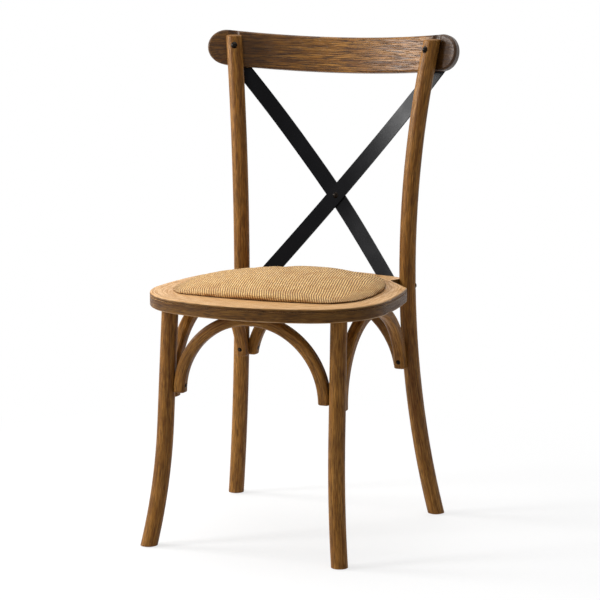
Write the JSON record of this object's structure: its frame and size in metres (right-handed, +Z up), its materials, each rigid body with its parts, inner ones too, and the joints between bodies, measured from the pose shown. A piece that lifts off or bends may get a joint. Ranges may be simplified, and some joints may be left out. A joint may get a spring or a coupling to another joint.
{
  "type": "dining chair",
  "caption": "Bentwood dining chair with crossed steel back straps, a bowed crest rail, a woven rattan seat pad and arched braces under the seat.",
  "frame": {"origin": "centre of the bounding box's base, on the floor between the feet", "axes": "+Z up, the chair faces -Y, +X to the right seen from the front"},
  "size_m": [0.492, 0.4961, 0.8838],
  "materials": {
    "frame_wood": "brown open-grain wood, worn satin",
    "plywood": "raw plywood",
    "foam": "soft foam under cloth",
    "rattan": "fine diagonal woven rattan",
    "black_steel": "matte black",
    "dark_fastener": "dark oxide, slight sheen",
    "bright_fastener": "zinc plated",
    "glide_plastic": "matte"
  },
  "bodies": {
    "root": {"rear_leg_left": "frame_wood", "rear_leg_right": "frame_wood", "front_leg_left": "frame_wood", "front_leg_right": "frame_wood", "crest_rail": "frame_wood", "seat_ring": "frame_wood", "front_brace": "frame_wood", "rear_brace": "frame_wood", "side_brace_left": "frame_wood", "side_brace_right": "frame_wood", "seat_board": "plywood", "seat_foam": "foam", "rattan_cover": "rattan", "back_strap_front": "black_steel", "back_strap_rear": "black_steel", "strap_rivet": "black_steel", "strap_top_screws": "dark_fastener", "strap_foot_screws": "dark_fastener", "crest_bolts": "dark_fastener", "leg_bolts": "dark_fastener", "brace_end_screws": "dark_fastener", "brace_top_screws": "dark_fastener", "board_screws": "bright_fastener", "crest_inserts": "bright_fastener", "leg_inserts": "bright_fastener", "foot_glides": "glide_plastic"}
  },
  "joints": []
}
